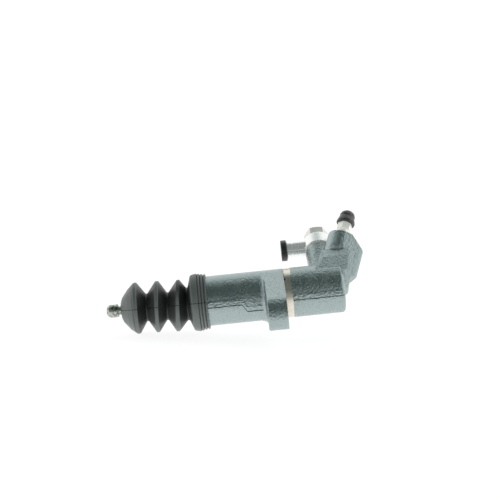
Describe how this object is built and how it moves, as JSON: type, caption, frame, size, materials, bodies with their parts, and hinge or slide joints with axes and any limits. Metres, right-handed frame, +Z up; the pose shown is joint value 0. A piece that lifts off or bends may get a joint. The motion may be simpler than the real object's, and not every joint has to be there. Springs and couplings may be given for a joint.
{
  "type": "clutch slave cylinder",
  "caption": "Hydraulic clutch slave cylinder: eared iron body with bellows boot, push rod, piston, bleeder on a slanted arm and an inlet union with a transit plug.",
  "frame": {"origin": "midway between the two flange holes, on the flange's machined face that bears on the housing", "axes": "+X along the cylinder axis, from the push rod's tip to the closed end; +Z up; the cylinder axis lies 5 mm above the origin"},
  "size_m": [0.1626, 0.0892, 0.0613],
  "materials": {
    "cast_iron_paint": "grey-green coated iron casting, satin",
    "piston_alloy": "turned and anodised",
    "cup_rubber": "moulded seal rubber",
    "spring_steel": "drawn spring wire",
    "rod_steel": "turned steel",
    "boot_rubber": "moulded bellows rubber, satin",
    "bright_zinc": "zinc plated, turned",
    "cap_rubber": "moulded rubber",
    "washer_copper": "soft sealing washer, plated",
    "union_zinc": "zinc plated forging",
    "seat_brass": "turned brass",
    "plug_plastic": "moulded plastic",
    "bolt_zinc": "zinc plated, machined hexagon"
  },
  "bodies": {
    "cylinder": {"cylinder_body": "cast_iron_paint", "stop_ring": "spring_steel", "dust_boot": "boot_rubber", "return_spring": "spring_steel", "union_washer_lower": "washer_copper", "union_washer_upper": "washer_copper", "union_fitting": "union_zinc", "tube_seat": "seat_brass", "union_bolt": "bolt_zinc"},
    "piston": {"piston": "piston_alloy", "primary_cup": "cup_rubber", "secondary_cup": "cup_rubber"},
    "push_rod": {"push_rod": "rod_steel"},
    "bleeder": {"bleeder_screw": "bright_zinc"},
    "bleeder_cap": {"bleeder_cap": "cap_rubber"},
    "port_plug": {"port_plug": "plug_plastic"}
  },
  "joints": [
    {"name": "piston_slide", "type": "slide", "parent": "cylinder", "child": "piston", "axis": [1, 0, 0], "range_m": [0, 0.016], "stiffness_N_per_m": 400, "springref_m": -0.02, "deforming": ["dust_boot", "return_spring"]},
    {"name": "rod_tilt", "type": "hinge", "parent": "piston", "child": "push_rod", "pos_m": [-0.0375, 0, 0.005], "axis": [0, 1, 0], "range_deg": [-3, 3]},
    {"name": "bleeder_turn", "type": "hinge", "parent": "cylinder", "child": "bleeder", "pos_m": [0.0269, 0, 0.005], "axis": [0.342, 0.604, 0.7198], "range_deg": [0, 180]},
    {"name": "cap_pull", "type": "slide", "parent": "bleeder", "child": "bleeder_cap", "axis": [0.342, 0.604, 0.7198], "range_m": [0, 0.012]},
    {"name": "plug_pull", "type": "slide", "parent": "cylinder", "child": "port_plug", "axis": [-1, 0, 0], "range_m": [0, 0.012]}
  ]
}
